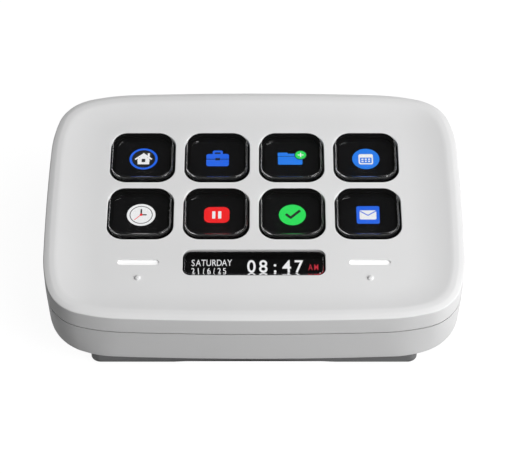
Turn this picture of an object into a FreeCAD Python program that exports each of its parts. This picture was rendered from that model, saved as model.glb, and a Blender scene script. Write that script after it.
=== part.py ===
import FreeCAD, Part
import math
import os
from FreeCAD import Placement, Rotation, Vector

# A desk keypad: eight clear keys over one display, an info window, two touch bars and a wedge stand.
# Lengths are millimetres. Everything is drawn flat first, in the slab's own frame: X to the right,
# Y up the face, away from the user, and Z out of the face, with the rim of the face at Z = 0.
# The finished pieces are then leaned back by TILT on to the desk, which is Z = 0 in the files.

# Keys, in rows and columns
KEY_COLUMNS = 4
KEY_ROWS = 2
KEY_OPENING = 17.06
KEY_OPENING_RADIUS = 4.5
KEY_WEB = 2.37               # left between two openings
KEY_PROUD = 1.3              # above the key field
KEY_TRAVEL = 0.7
KEY_SLACK = 0.05
KEY_SIDE_GAP = 0.15
KEY_TOP_BEVEL = 0.45
SHOULDER = 0.63              # by which a lens's foot is smaller than its head, on each side
LENS_FOOT_CUT = 2.0          # its corners are cut off at 45 degrees
LENS_FOOT_FIT = 0.05
LENS_TO_GLASS = 0.1          # what is left under a key that is fully down
CARRIER_REACH = 0.32         # by which a carrier is larger than its opening, on each side
CARRIER_CUT = 1.5
CARRIER_THICKNESS = 0.5

# Info window and touch bars
INFO_GAP = 3.45              # from the front row's openings
INFO_HEIGHT = 8.4
INFO_SETBACK = 1.43          # in from the outer edges of the middle columns, web included
INFO_RADIUS = 2.3
INFO_SINK = 0.15
INFO_FLANGE = 0.9
BAR_LENGTH = 10.5
BAR_HEIGHT = 1.9
BAR_SINK = 0.35
BAR_FLANGE = 0.6
GUIDE_FIT = 0.05
GUIDE_TO_GLASS = 0.1
NUB_DROP = 5.2               # from a bar's middle to the nub under it
NUB_RADIUS = 0.95
NUB_HEIGHT = 0.35

# Face round the keys and the window
SIDE_MARGIN = 15.675
BACK_MARGIN = 14.36
FRONT_MARGIN = 15.0
FACE_DISH = 0.9              # how far the key field lies below the rim
COVE_SIDE = 10.4             # width of the dish's rise at the left and the right
COVE_END = 7.4               # the same at the front and the back
RIM_LAND = 0.3
RIM_WIDTH = 2.6
RIM_DROP = 0.33
RIM_ROLL = 0.57              # the rolled edge between the rim and the wall
FACE_WALL = 0.9

# Slab outline
LONG_SIDE_BOW = 1.7          # how far the front and the back bulge at their middle
SHORT_SIDE_BOW = 1.05
CORNER_REACH = 20.8          # from a side to where its corner starts
CORNER_FLANK = 46.0          # radius of a corner's first arc; the other two follow from it
CORNER_TURN = 14.0           # degrees turned by each outer arc of a corner
FOOT_CORNER_REACH = 17.4     # the same three at the underside, where the corners are rounder
FOOT_CORNER_FLANK = 24.0
FOOT_CORNER_TURN = 20.0

# The two halves of the case
CASE_WALL = 2.0
SKIRT_DEPTH = 5.65           # lower end of the upper case's wall
PARTING_GAP = 0.3
SLAB_THICKNESS = 16.6
FOOT_DRAFT = 0.6
FOOT_CHAMFER = 0.5
STIFFENER = 1.2
LIP_HEIGHT = 1.6
LIP_WALL = 0.9
LIP_CLEARANCE = 0.1

# Bezel, rubber mat and contact film
BEZEL_PLATE = 0.5
BEZEL_REVEAL = 0.45          # black ledge that shows round a key and round the info window
RIB_WIDTH = 1.0
MAT_THICKNESS = 0.3
MAT_WINDOW_GAP = 0.2
SPRING_LENGTH = 8.0          # rubber spring bar at each side of a key
SPRING_WIDTH = 1.5
SPRING_TAPER = 0.25
SPRING_SKIN = 0.3
SPRING_SPARE = 0.05
SPRING_GAP = 0.1             # from the mat's window
FILM_THICKNESS = 0.15
LAYER_MARGIN = 0.3           # mat and film inside the display's outline

# Display
DISPLAY_SIDE = 0.62          # beyond the outer openings, at the left and the right
DISPLAY_END = 1.3            # the same at the back and in front of the window
GLASS_THICKNESS = 1.1
BACKLIGHT_THICKNESS = 1.6
GLASS_LEDGE = 2.8            # bare glass at the front, where the ribbon is bonded
TRAY_CLEARANCE = 0.25
TRAY_WALL = 1.0
SUPPORT_THICKNESS = 0.6

# Screws
SCREW_RADIUS = 1.0
SCREW_HEAD_RADIUS = 1.9
SCREW_HEAD_HEIGHT = 1.2
SCREW_CLEARANCE = 0.2
THREAD_CLEARANCE = 0.05
THREAD_SPARE = 0.3
HEAD_CLEARANCE = 0.25
DRIVE_SPAN = 1.9
DRIVE_WIDTH = 0.4
DRIVE_DEPTH = 0.6
ROD_SIDES = 12
BOSS_RADIUS = 2.2
BOSS_SIDES = 8
BOSS_GAP = 0.4

# Board screws clamp the board and the bezel's legs to the upper case
LEG_BACK = 10.0              # in from the back edge of the bezel's tray
LEG_FRONT = 9.0
LEG_SHOULDER = 2.3           # height of a leg's top over the display's back
BOARD_SCREW_GRIP = 2.2       # thread in the upper case

# Case screws pass through the stand and the lower case into the upper case
CASE_SCREW_X = 30.0
CASE_SEAM = 8.0              # depth where the bosses of the two halves meet
CASE_SCREW_LENGTH = 13.0

# Main board
BOARD_GAP = 2.3              # under the support plate
BOARD_EDGE = 1.0             # beyond the bezel's legs
BOARD_THICKNESS = 1.2
TAB_WIDTH = 16.0
CONNECTOR_WIDTH = 22.0
CONNECTOR_DEPTH = 4.0
CONNECTOR_HEIGHT = 1.7
CONNECTOR_SETBACK = 8.0      # behind the front edge of the bezel's tray

# Components on the board: width, depth, height, and the place of the middle
CONTROLLER = (7.0, 7.0, 0.9, -14.0, 4.0)
MEMORY = (5.0, 6.0, 0.8, 4.0, 6.0)
CRYSTAL = (3.2, 2.5, 0.8, -14.0, 12.0)
REGULATOR = (3.0, 3.0, 1.0, 14.0, 18.0)
COIL = (4.0, 4.0, 1.8, 20.0, 18.0)
CAPACITORS = 6
CAPACITOR_STEP = 3.0
FIRST_CAPACITOR = (1.6, 0.8, 0.8, -24.0, -4.0)

# Ribbon between the display and the board
RIBBON_WIDTH = 19.0
RIBBON_THICKNESS = 0.2
RIBBON_BOND = 2.2            # length bonded under the glass ledge
RIBBON_ROOM = 1.0            # at each side of it in the tray's wall
RIBBON_LEVEL = 1.1           # above the board, where it enters its connector

# USB-C inlet
PORT_WIDTH = 8.94
PORT_HEIGHT = 3.16
PORT_WALL = 0.3
PORT_LENGTH = 7.35
PORT_SETBACK = 0.55          # mouth inside the case's outer face
PORT_OVERHANG = 4.8          # mouth beyond the board's tab
PORT_CLEARANCE = 0.33
INSERT_LENGTH = 2.6
INSERT_FIT = 0.03
TONGUE_WIDTH = 6.69
TONGUE_THICKNESS = 0.7
TONGUE_LENGTH = 4.45

# Stand and its pad
TILT = 5.0                   # degrees
STAND_SIDE = 12.15           # in from the slab's outline at the left and the right
STAND_FRONT = 1.65
STAND_BACK = 4.85
STAND_CORNER = 2.5
STAND_WALL = 1.8
STAND_SEAT = 1.4             # thickness of the stand under a screw's head
STAND_BOSS_RADIUS = 3.4
PAD_INSET = 1.0
PAD_THICKNESS = 1.0
PAD_FRONT_DROP = 3.6         # pad's front edge below the slab's underside

# Places that follow from the sizes above
KEY_PITCH = KEY_OPENING + KEY_WEB
FIELD_WIDTH = KEY_COLUMNS * KEY_PITCH - KEY_WEB
FIELD_HEIGHT = KEY_ROWS * KEY_PITCH - KEY_WEB
BODY_WIDTH = FIELD_WIDTH + 2 * SIDE_MARGIN
BODY_DEPTH = BACK_MARGIN + FIELD_HEIGHT + INFO_GAP + INFO_HEIGHT + FRONT_MARGIN
HALF_WIDTH = BODY_WIDTH / 2
HALF_DEPTH = BODY_DEPTH / 2
FIELD_BACK = HALF_DEPTH - BACK_MARGIN
FIELD_FRONT = FIELD_BACK - FIELD_HEIGHT
INFO_Y = FRONT_MARGIN + INFO_HEIGHT / 2 - HALF_DEPTH
INFO_WIDTH = (KEY_COLUMNS - 2) * KEY_PITCH - 2 * INFO_SETBACK
BAR_X = (KEY_COLUMNS - 1) / 2 * KEY_PITCH
NUB_Y = INFO_Y - NUB_DROP
KEYS = [
    ((column - (KEY_COLUMNS - 1) / 2) * KEY_PITCH, FIELD_BACK - KEY_OPENING / 2 - row * KEY_PITCH)
    for row in range(KEY_ROWS)
    for column in range(KEY_COLUMNS)
]
KEY_WINDOW = KEY_OPENING - 2 * BEZEL_REVEAL
KEY_WINDOW_CUT = KEY_OPENING_RADIUS / 2
LENS_SIZE = KEY_WINDOW - 2 * KEY_SIDE_GAP
LENS_RADIUS = KEY_OPENING_RADIUS - BEZEL_REVEAL - KEY_SIDE_GAP
LENS_FOOT = LENS_SIZE - 2 * SHOULDER
CARRIER = KEY_OPENING + 2 * CARRIER_REACH
MAT_WINDOW = LENS_FOOT + 2 * MAT_WINDOW_GAP
DISPLAY_WIDTH = FIELD_WIDTH + 2 * DISPLAY_SIDE
DISPLAY_BACK_Y = FIELD_BACK + DISPLAY_END
ACTIVE_FRONT_Y = INFO_Y - INFO_HEIGHT / 2 - DISPLAY_END
GLASS_FRONT_Y = ACTIVE_FRONT_Y - GLASS_LEDGE
TRAY_WIDTH = DISPLAY_WIDTH + 2 * (TRAY_CLEARANCE + TRAY_WALL)
TRAY_BACK_Y = DISPLAY_BACK_Y + TRAY_CLEARANCE + TRAY_WALL
TRAY_FRONT_Y = GLASS_FRONT_Y - TRAY_CLEARANCE - TRAY_WALL
LEG_X = TRAY_WIDTH / 2 + BOSS_GAP + BOSS_RADIUS
CASE_SCREW_BACK_Y = TRAY_BACK_Y + BOSS_GAP + BOSS_RADIUS
CASE_SCREW_FRONT_Y = TRAY_FRONT_Y - BOSS_GAP - BOSS_RADIUS
BOARD_WIDTH = 2 * (LEG_X + BOSS_RADIUS + BOARD_EDGE)
BOARD_BACK_Y = CASE_SCREW_BACK_Y - BOSS_RADIUS - BOSS_GAP
BOARD_FRONT_Y = CASE_SCREW_FRONT_Y + BOSS_RADIUS + BOSS_GAP
CONNECTOR_Y = TRAY_FRONT_Y + CONNECTOR_SETBACK
PORT_MOUTH_Y = HALF_DEPTH - PORT_SETBACK
STAND_WIDTH = BODY_WIDTH - 2 * STAND_SIDE
STAND_FRONT_Y = STAND_FRONT - HALF_DEPTH
STAND_BACK_Y = HALF_DEPTH - STAND_BACK
STAND_Y = (STAND_FRONT_Y + STAND_BACK_Y) / 2
STAND_DEPTH = STAND_BACK_Y - STAND_FRONT_Y

# Levels that follow from the sizes above
FIELD = -FACE_DISH
FACE_UNDER = FIELD - FACE_WALL
BEZEL_UNDER = FACE_UNDER - BEZEL_PLATE
CARRIER_TOP = BEZEL_UNDER - KEY_SLACK
CARRIER_UNDER = CARRIER_TOP - CARRIER_THICKNESS
SPRING_TOP = CARRIER_UNDER - KEY_SLACK
MAT_TOP = SPRING_TOP - KEY_TRAVEL - SPRING_SPARE
MAT_UNDER = MAT_TOP - MAT_THICKNESS
GLASS_TOP = MAT_UNDER - FILM_THICKNESS
GLASS_UNDER = GLASS_TOP - GLASS_THICKNESS
DISPLAY_UNDER = GLASS_UNDER - BACKLIGHT_THICKNESS
SUPPORT_UNDER = DISPLAY_UNDER - SUPPORT_THICKNESS
LEG_TOP = DISPLAY_UNDER + LEG_SHOULDER
LENS_TOP = FIELD + KEY_PROUD
LENS_UNDER = GLASS_TOP + KEY_TRAVEL + LENS_TO_GLASS
CASE_TOP = -SKIRT_DEPTH - PARTING_GAP
UNDERSIDE = -SLAB_THICKNESS
CASE_FLOOR = UNDERSIDE + CASE_WALL
CASE_SCREW_SEAT = UNDERSIDE - STAND_SEAT
BOARD_TOP = SUPPORT_UNDER - BOARD_GAP
BOARD_UNDER = BOARD_TOP - BOARD_THICKNESS


def corners(x, back, front):
    """Four places: left and right of the middle, at the back and at the front."""
    return [(side * x, y) for y in (back, front) for side in (-1, 1)]


BOARD_SCREWS = corners(LEG_X, TRAY_BACK_Y - LEG_BACK, TRAY_FRONT_Y + LEG_FRONT)
CASE_SCREWS = corners(CASE_SCREW_X, CASE_SCREW_BACK_Y, CASE_SCREW_FRONT_Y)


# Shapes that several pieces share

def turned(radius, start, end):
    """The step from one end to the other of a clockwise arc whose heading goes from start to end."""
    return radius * (math.sin(start) - math.sin(end)), radius * (math.cos(end) - math.cos(start))


def slab_arcs(half_x, half_y, reach, flank, turn):
    """The slab's bowed rectangle: four shallow arcs joined by corners of three arcs each."""
    corner_x = half_x - reach
    corner_y = half_y - reach
    long_radius = (HALF_WIDTH**2 + LONG_SIDE_BOW**2) / (2 * LONG_SIDE_BOW)
    short_radius = (HALF_DEPTH**2 + SHORT_SIDE_BOW**2) / (2 * SHORT_SIDE_BOW)
    back = half_y - long_radius + math.sqrt(long_radius**2 - corner_x**2)
    side = half_x - short_radius + math.sqrt(short_radius**2 - corner_y**2)
    headings = [-math.asin(corner_x / long_radius), math.asin(corner_y / short_radius) - math.pi / 2]
    headings[1:1] = [headings[0] - math.radians(turn), headings[1] + math.radians(turn)]

    # the corner runs from (corner_x, back) to (side, corner_y), which settles its last two radii
    first = turned(flank, headings[0], headings[1])
    rest_x = side - corner_x - first[0]
    rest_y = corner_y - back - first[1]
    unit_2 = turned(1, headings[1], headings[2])
    unit_3 = turned(1, headings[2], headings[3])
    scale = unit_2[0] * unit_3[1] - unit_2[1] * unit_3[0]
    radii = [
        flank,
        (rest_x * unit_3[1] - rest_y * unit_3[0]) / scale,
        (unit_2[0] * rest_y - unit_2[1] * rest_x) / scale,
    ]
    arcs = [((-corner_x, back), (0, half_y), (corner_x, back))]
    here = (corner_x, back)
    for radius, start, end in zip(radii, headings, headings[1:]):
        half = turned(radius, start, (start + end) / 2)
        whole = turned(radius, start, end)
        there = (here[0] + whole[0], here[1] + whole[1])
        arcs.append((here, (here[0] + half[0], here[1] + half[1]), there))
        here = there
    arcs.append(((side, corner_y), (half_x, 0), (side, -corner_y)))
    flipped = [[(x, -y) for x, y in reversed(arc)] for arc in reversed(arcs[1:4])]
    arcs += flipped
    arcs.append(((corner_x, -back), (0, -half_y), (-corner_x, -back)))
    arcs += [[(-x, -y) for x, y in arc] for arc in arcs[1:8]]
    return arcs


def curved(arcs, z):
    return Part.Wire([Part.Arc(*[Vector(x, y, z) for x, y in arc]).toShape() for arc in arcs])


def slab_outline(inset, z):
    """The slab's outline moved in by inset."""
    return curved(slab_arcs(
        HALF_WIDTH - inset, HALF_DEPTH - inset, CORNER_REACH - inset, CORNER_FLANK - inset, CORNER_TURN,
    ), z)


def foot_outline(inset, z):
    """The same for the underside, whose corners are rounder."""
    return curved(slab_arcs(
        HALF_WIDTH - inset, HALF_DEPTH - inset, FOOT_CORNER_REACH, FOOT_CORNER_FLANK, FOOT_CORNER_TURN,
    ), z)


def inner_outline(inset, reach=CORNER_REACH, flank=CORNER_FLANK, turn=CORNER_TURN):
    """The outline of a face inside the case, drawn with two chords to each arc."""
    arcs = slab_arcs(HALF_WIDTH - inset, HALF_DEPTH - inset, reach - inset, flank - inset, turn)
    points = [Vector(x, y, 0) for arc in arcs for x, y in arc[:2]]
    return Part.makePolygon(points + points[:1])


def inner_foot(inset):
    return inner_outline(inset, FOOT_CORNER_REACH, FOOT_CORNER_FLANK, FOOT_CORNER_TURN)


def rounded(width, height, radius, z=0.0, x=0.0, y=0.0):
    """A rounded rectangle as a wire, centred on (x, y). A radius of half a side makes round ends."""
    w, h = width / 2, height / 2
    r = min(radius, w, h)
    knee = r * (1 - math.sqrt(0.5))
    ends = []
    for sx, sy, backwards in ((1, 1, False), (1, -1, True), (-1, -1, False), (-1, 1, True)):
        start = Vector(x + sx * (w - r), y + sy * h, z)
        end = Vector(x + sx * w, y + sy * (h - r), z)
        middle = Vector(x + sx * (w - knee), y + sy * (h - knee), z)
        ends.append((end, middle, start) if backwards else (start, middle, end))
    edges = []
    for i, (start, middle, end) in enumerate(ends):
        before = ends[i - 1][2]
        if before.distanceToPoint(start) > 1e-6:
            edges.append(Part.makeLine(before, start))
        edges.append(Part.Arc(start, middle, end).toShape())
    return Part.Wire(edges)


def block(wire, z_from, z_to):
    """A wire drawn at any height, filled and stretched from z_from to z_to."""
    face = Part.Face(wire)
    face.translate(Vector(0, 0, z_from - wire.BoundBox.ZMin))
    return face.extrude(Vector(0, 0, z_to - z_from))


def bar(width, height, radius, z_from, z_to, x=0.0, y=0.0):
    """A rounded rectangle stretched from z_from to z_to."""
    return block(rounded(width, height, radius, z_from, x, y), z_from, z_to)


def cut_cornered(width, height, cut, z_from, z_to, x=0.0, y=0.0):
    """A rectangle whose corners are cut off at 45 degrees, stretched from z_from to z_to."""
    w, h = width / 2, height / 2
    quarter = [(w - cut, h), (w, h - cut)]
    points = quarter + [(px, -py) for px, py in reversed(quarter)]
    points += [(-px, -py) for px, py in points]
    points = [Vector(x + px, y + py, z_from) for px, py in points]
    return block(Part.makePolygon(points + points[:1]), z_from, z_to)


def prism(place, radius, sides, z_from, z_to):
    """A post with flats, for round pieces that repeat. Its flats lie at radius."""
    reach = radius / math.cos(math.pi / sides)
    angles = [math.pi * (2 * i + 1) / sides for i in range(sides)]
    centre = Vector(place[0], place[1], z_from)
    points = [centre + Vector(math.cos(angle), math.sin(angle), 0) * reach for angle in angles]
    return block(Part.makePolygon(points + points[:1]), z_from, z_to)


def bosses(places, radius, z_from, z_to):
    return [prism(place, radius, BOSS_SIDES, z_from, z_to) for place in places]


def holes(places, radius, z_from, z_to):
    """Screw holes, with as many flats as the screws themselves."""
    return [prism(place, radius, ROD_SIDES, z_from, z_to) for place in places]


def box(x_from, x_to, y_from, y_to, z_from, z_to):
    return Part.makeBox(x_to - x_from, y_to - y_from, z_to - z_from, Vector(x_from, y_from, z_from))


def cut_all(shape, tools):
    return shape.cut(Part.makeCompound(tools))


def fuse_all(shapes):
    return shapes[0].fuse(shapes[1:]).removeSplitter()


def screw(place, seat, length):
    """A cross-recessed screw driven upwards, whose head bears on the plane z = seat."""
    x, y = place
    outer = seat - SCREW_HEAD_HEIGHT
    head = prism(place, SCREW_HEAD_RADIUS, ROD_SIDES, outer, seat)
    shank = prism(place, SCREW_RADIUS, ROD_SIDES, seat, seat + length)
    long, short = DRIVE_SPAN / 2, DRIVE_WIDTH / 2
    slots = [
        box(x - half_x, x + half_x, y - half_y, y + half_y, outer - 1, outer + DRIVE_DEPTH)
        for half_x, half_y in ((long, short), (short, long))
    ]
    return fuse_all([head, shank]).cut(fuse_all(slots))


def screws(places, seat, length):
    return Part.makeCompound([screw(place, seat, length) for place in places])


# Upper case

def upper_case():
    """The moulded face: bowed wall, rolled rim, and a shallow dish with all the openings."""
    rolled = RIM_ROLL * (1 - math.sqrt(0.5))
    profile = [
        (0, -SKIRT_DEPTH),
        (0, -RIM_DROP - RIM_ROLL),
        (rolled, -RIM_DROP - rolled),
        (RIM_ROLL, -RIM_DROP),
        (RIM_WIDTH, 0),
    ]
    body = Part.makeLoft([slab_outline(inset, z) for inset, z in profile], True, True).cut(dish())
    body = body.cut(block(inner_outline(CASE_WALL), -SKIRT_DEPTH - 1, FACE_UNDER))
    rebate = CASE_WALL - LIP_WALL - LIP_CLEARANCE
    rebate_top = CASE_TOP + LIP_HEIGHT + LIP_CLEARANCE
    body = body.cut(block(inner_outline(rebate), -SKIRT_DEPTH - 1, rebate_top))
    nub_top = FIELD + NUB_HEIGHT
    stubs = [prism((side * BAR_X, NUB_Y), NUB_RADIUS, ROD_SIDES, FACE_UNDER, nub_top) for side in (-1, 1)]
    stubs += bosses(BOARD_SCREWS, BOSS_RADIUS, LEG_TOP, FACE_UNDER)
    stubs += bosses(CASE_SCREWS, BOSS_RADIUS, -CASE_SEAM, FACE_UNDER)
    body = fuse_all([body] + stubs)

    thread = SCREW_RADIUS + THREAD_CLEARANCE
    case_tip = CASE_SCREW_SEAT + CASE_SCREW_LENGTH
    below, above = FACE_UNDER - 1, FIELD + 1
    tools = holes(BOARD_SCREWS, thread, LEG_TOP - 1, LEG_TOP + BOARD_SCREW_GRIP + THREAD_SPARE)
    tools += holes(CASE_SCREWS, thread, -CASE_SEAM - 1, case_tip + THREAD_SPARE)
    tools += [bar(KEY_OPENING, KEY_OPENING, KEY_OPENING_RADIUS, below, above, x, y) for x, y in KEYS]
    tools.append(bar(INFO_WIDTH, INFO_HEIGHT, INFO_RADIUS, below, above, 0, INFO_Y))
    for x in (-BAR_X, BAR_X):
        tools.append(bar(BAR_LENGTH, BAR_HEIGHT, BAR_HEIGHT / 2, below, above, x, INFO_Y))
    return cut_all(body, tools)


def dish():
    """What is scooped out of the face: a flat floor whose edge rises to the rim on a parabola."""
    crest = RIM_WIDTH + RIM_LAND
    sections = []
    for share in (0, 0.4, 0.8, 1.2):
        inset_x = crest + COVE_SIDE * (1 - share)
        inset_y = crest + COVE_END * (1 - share)
        reach = CORNER_REACH - (inset_x + inset_y) / 2
        flank = CORNER_FLANK * reach / CORNER_REACH
        arcs = slab_arcs(HALF_WIDTH - inset_x, HALF_DEPTH - inset_y, reach, flank, CORNER_TURN)
        sections.append(curved(arcs, FIELD + FACE_DISH * share**2))
    return Part.makeLoft(sections, True, True)


# Lower case

def lower_case():
    """A tray with drafted walls, a locating lip, screw bosses, two ribs and the port's cut-out."""
    sections = [
        foot_outline(FOOT_DRAFT + FOOT_CHAMFER, UNDERSIDE),
        foot_outline(FOOT_DRAFT, UNDERSIDE + FOOT_CHAMFER),
        slab_outline(0, CASE_TOP),
    ]
    body = Part.makeLoft(sections, True, True)
    inner = CASE_WALL + FOOT_DRAFT
    body = body.cut(block(inner_foot(inner), CASE_FLOOR, CASE_TOP + 1))
    lip = block(inner_outline(CASE_WALL - LIP_WALL), CASE_TOP - LIP_WALL, CASE_TOP + LIP_HEIGHT)
    lip = lip.cut(block(inner_foot(inner), CASE_TOP - LIP_WALL - 1, CASE_TOP + LIP_HEIGHT + 1))
    root = UNDERSIDE + CASE_WALL / 2
    half = STIFFENER / 2
    stiffeners = [
        box(x - half, x + half, BOARD_FRONT_Y, BOARD_BACK_Y, root, CASE_FLOOR + STIFFENER)
        for x in (-BOARD_WIDTH / 5, BOARD_WIDTH / 5)
    ]
    body = fuse_all([body, lip] + bosses(CASE_SCREWS, BOSS_RADIUS, root, -CASE_SEAM) + stiffeners)
    tools = holes(CASE_SCREWS, SCREW_RADIUS + SCREW_CLEARANCE, UNDERSIDE - 1, -CASE_SEAM + 1)
    tools.append(port_prism(PORT_CLEARANCE, PORT_MOUTH_Y - PORT_LENGTH, HALF_DEPTH + 1))
    return cut_all(body, tools)


# Keys

def key_lens(x, y):
    """A clear block: a square head that shows, and a smaller foot that passes through its carrier."""
    head = bar(LENS_SIZE, LENS_SIZE, LENS_RADIUS, CARRIER_TOP, LENS_TOP, x, y)
    rim = [e for e in head.Edges if e.BoundBox.ZMin > LENS_TOP - 1e-3]
    head = head.makeChamfer(KEY_TOP_BEVEL, rim)
    foot = cut_cornered(LENS_FOOT, LENS_FOOT, LENS_FOOT_CUT, LENS_UNDER, CARRIER_TOP, x, y)
    return fuse_all([head, foot])


def key_carrier(x, y):
    """The black frame under a lens. It stops the key under the bezel and bears on two springs."""
    hole = LENS_FOOT + 2 * LENS_FOOT_FIT
    plate = cut_cornered(CARRIER, CARRIER, CARRIER_CUT, CARRIER_UNDER, CARRIER_TOP, x, y)
    return plate.cut(cut_cornered(hole, hole, LENS_FOOT_CUT, CARRIER_UNDER - 1, CARRIER_TOP + 1, x, y))


# Bezel, which shows as a black ledge in the openings and holds the display stack

def bezel():
    z_top = FACE_UNDER
    tray = box(-TRAY_WIDTH / 2, TRAY_WIDTH / 2, TRAY_FRONT_Y, TRAY_BACK_Y, DISPLAY_UNDER, z_top)
    wall = TRAY_WALL
    pocket = box(
        wall - TRAY_WIDTH / 2, TRAY_WIDTH / 2 - wall, TRAY_FRONT_Y + wall, TRAY_BACK_Y - wall,
        DISPLAY_UNDER - 1, BEZEL_UNDER,
    )
    legs = bosses(BOARD_SCREWS, BOSS_RADIUS, BOARD_TOP, LEG_TOP)
    for x, y in BOARD_SCREWS:
        near, far = sorted((x, math.copysign(TRAY_WIDTH / 2 - wall / 2, x)))
        legs.append(box(near, far, y - BOSS_RADIUS, y + BOSS_RADIUS, DISPLAY_UNDER, LEG_TOP))
    body = fuse_all([tray.cut(pocket)] + legs + hold_down_ribs())
    below, above = BEZEL_UNDER - 1, z_top + 1
    tools = [cut_cornered(KEY_WINDOW, KEY_WINDOW, KEY_WINDOW_CUT, below, above, x, y) for x, y in KEYS]
    reveal = 2 * BEZEL_REVEAL
    tools.append(cut_cornered(
        INFO_WIDTH - reveal, INFO_HEIGHT - reveal, INFO_RADIUS / 3, below, above, 0, INFO_Y,
    ))
    for x in (-BAR_X, BAR_X):
        tools.append(cut_cornered(BAR_LENGTH, BAR_HEIGHT, BAR_HEIGHT / 4, below, above, x, INFO_Y))
    tools += holes(BOARD_SCREWS, SCREW_RADIUS + SCREW_CLEARANCE, BOARD_TOP - 1, LEG_TOP + 1)
    tools.append(ribbon_slot())
    return cut_all(body, tools)


def hold_down_ribs():
    """Ribs between the keys that press the mat on to the film."""
    half_width = DISPLAY_WIDTH / 2 + TRAY_CLEARANCE + TRAY_WALL / 2
    half_rib = RIB_WIDTH / 2
    ribs = []
    for column in range(1, KEY_COLUMNS):
        x = (column - KEY_COLUMNS / 2) * KEY_PITCH
        front = FIELD_FRONT - KEY_WEB / 2
        ribs.append(box(x - half_rib, x + half_rib, front, FIELD_BACK, MAT_TOP, BEZEL_UNDER))
    for row in range(1, KEY_ROWS + 1):
        y = FIELD_BACK + KEY_WEB / 2 - row * KEY_PITCH
        ribs.append(box(-half_width, half_width, y - half_rib, y + half_rib, MAT_TOP, BEZEL_UNDER))
    return ribs


def ribbon_slot():
    """Room for the ribbon through the front wall of the tray and of the support plate."""
    half = RIBBON_WIDTH / 2 + RIBBON_ROOM
    edge = TRAY_FRONT_Y + TRAY_WALL + TRAY_CLEARANCE
    return box(-half, half, TRAY_FRONT_Y - 1, edge, SUPPORT_UNDER - 1, GLASS_UNDER + RIBBON_THICKNESS)


# Switch layers under the bezel

def layer(z_from, z_to):
    """A sheet as large as the picture area, with windows at the keys, the info window and the bars."""
    half = DISPLAY_WIDTH / 2 - LAYER_MARGIN
    front, back = ACTIVE_FRONT_Y + LAYER_MARGIN, DISPLAY_BACK_Y - LAYER_MARGIN
    sheet = box(-half, half, front, back, z_from, z_to)
    below, above = z_from - 1, z_to + 1
    fit = 2 * GUIDE_FIT
    windows = [cut_cornered(MAT_WINDOW, MAT_WINDOW, LENS_FOOT_CUT, below, above, x, y) for x, y in KEYS]
    windows.append(cut_cornered(INFO_WIDTH, INFO_HEIGHT, INFO_RADIUS / 2, below, above, 0, INFO_Y))
    for side in (-1, 1):
        windows.append(cut_cornered(
            BAR_LENGTH + fit, BAR_HEIGHT + fit, BAR_HEIGHT / 4, below, above, side * BAR_X, INFO_Y,
        ))
    return cut_all(sheet, windows)


def frustum(x, y, length, width, taper, z_from, z_to):
    """A straight-sided bar that narrows upwards by taper on every side."""
    foot = Part.makePolygon(rectangle(x, y, length, width, z_from))
    top = Part.makePolygon(rectangle(x, y, length - 2 * taper, width - 2 * taper, z_to))
    return Part.makeLoft([foot, top], True, True)


def rectangle(x, y, length, width, z):
    half_x, half_y = width / 2, length / 2
    signs = ((-1, -1), (1, -1), (1, 1), (-1, 1), (-1, -1))
    return [Vector(x + sx * half_x, y + sy * half_y, z) for sx, sy in signs]


def dome_mat():
    """A silicone sheet with two hollow spring bars at each key, which buckle and push it back up."""
    offset = MAT_WINDOW / 2 + SPRING_GAP + SPRING_WIDTH / 2
    length, width = SPRING_LENGTH - 2 * SPRING_SKIN, SPRING_WIDTH - 2 * SPRING_SKIN
    ceiling = SPRING_TOP - SPRING_SKIN
    springs, hollows = [], []
    for x, y in KEYS:
        for place in (x - offset, x + offset):
            spring = frustum(place, y, SPRING_LENGTH, SPRING_WIDTH, SPRING_TAPER, MAT_TOP, SPRING_TOP)
            springs.append(spring)
            hollows.append(frustum(place, y, length, width, SPRING_TAPER, MAT_UNDER, ceiling))
    return cut_all(fuse_all([layer(MAT_UNDER, MAT_TOP)] + springs), hollows)


def switch_film():
    """The printed contact film between the mat and the display."""
    return layer(GLASS_TOP, MAT_UNDER)


# Info window and light guides

def flanged_window(width, height, radius, top, flange, x, y):
    """A clear block through the face, held by a flange under the bezel."""
    head = bar(width, height, radius, GLASS_TOP + GUIDE_TO_GLASS, top, x, y)
    half_x, half_y = width / 2 + flange, height / 2 + flange
    rim = box(x - half_x, x + half_x, y - half_y, y + half_y, MAT_TOP + KEY_SLACK, BEZEL_UNDER)
    return fuse_all([head, rim])


def info_window():
    step = BEZEL_REVEAL + GUIDE_FIT
    width, height = INFO_WIDTH - 2 * step, INFO_HEIGHT - 2 * step
    return flanged_window(width, height, INFO_RADIUS - step, FIELD - INFO_SINK, INFO_FLANGE, 0, INFO_Y)


def light_guide(side):
    length = BAR_LENGTH - 2 * GUIDE_FIT
    height = BAR_HEIGHT - 2 * GUIDE_FIT
    top = FIELD - BAR_SINK
    return flanged_window(length, height, height / 2, top, BAR_FLANGE, side * BAR_X, INFO_Y)


# Display, support plate and ribbon

def display_sheet(front_y, z_from, z_to):
    return box(-DISPLAY_WIDTH / 2, DISPLAY_WIDTH / 2, front_y, DISPLAY_BACK_Y, z_from, z_to)


def support_plate():
    """A steel sheet bonded behind the display and its tray, with room for the ribbon."""
    half = TRAY_WIDTH / 2
    plate = box(-half, half, TRAY_FRONT_Y, TRAY_BACK_Y, SUPPORT_UNDER, DISPLAY_UNDER)
    return plate.cut(ribbon_slot())


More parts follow.
